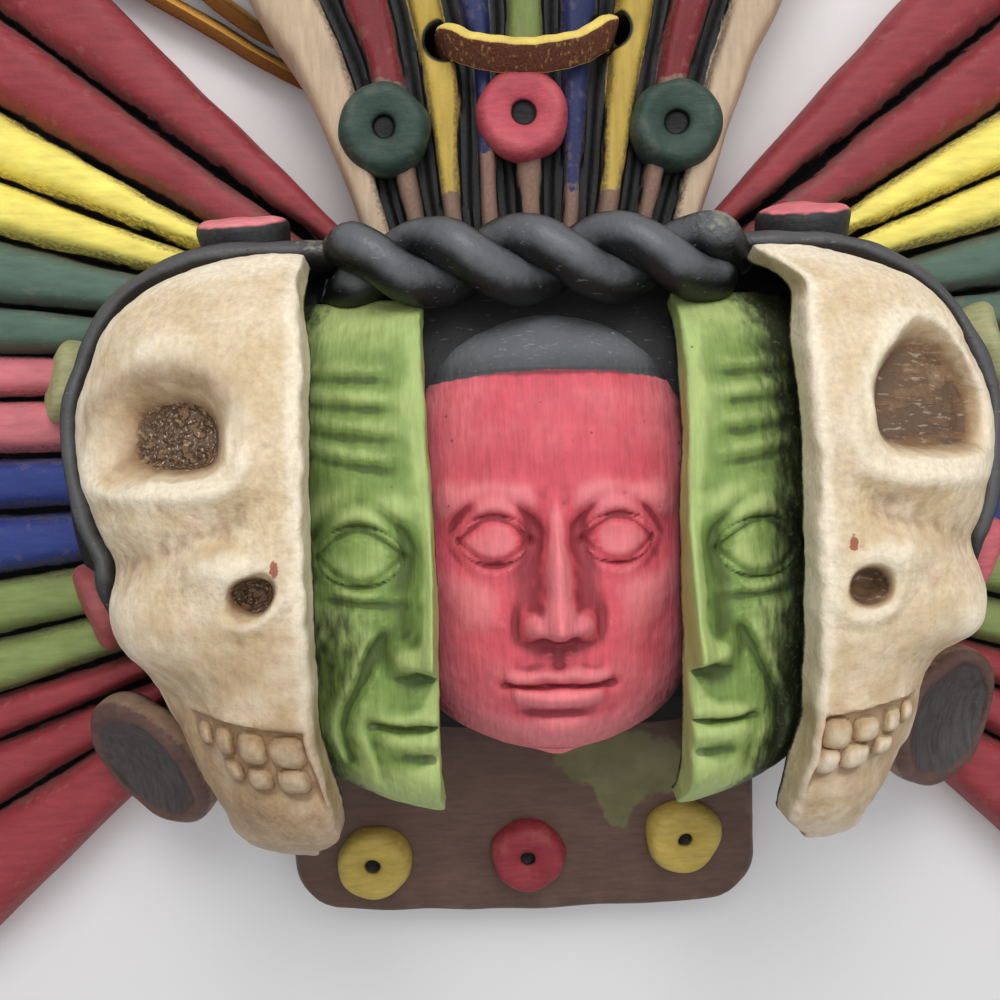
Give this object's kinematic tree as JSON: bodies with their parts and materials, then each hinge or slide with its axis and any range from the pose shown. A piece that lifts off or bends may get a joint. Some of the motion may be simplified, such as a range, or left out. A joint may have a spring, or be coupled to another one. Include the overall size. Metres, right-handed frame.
{
  "type": "terracotta wall mask",
  "caption": "Painted clay wall mask, hollow behind: a split skull and a split old face open round a young face, with feather fans, crest, bib and a leather hanging thong.",
  "frame": {"origin": "middle of the mask's outline, on the plane its back lies on", "axes": "+X to the right as the face is seen, +Y towards the crest, +Z out of the face"},
  "size_m": [0.2558, 0.1993, 0.0558],
  "materials": {
    "painted_clay": "matt paint over fired clay",
    "thong_leather": "dry, undyed edges"
  },
  "bodies": {
    "root": {"mask_body": "painted_clay", "hanging_thong": "thong_leather"}
  },
  "joints": []
}
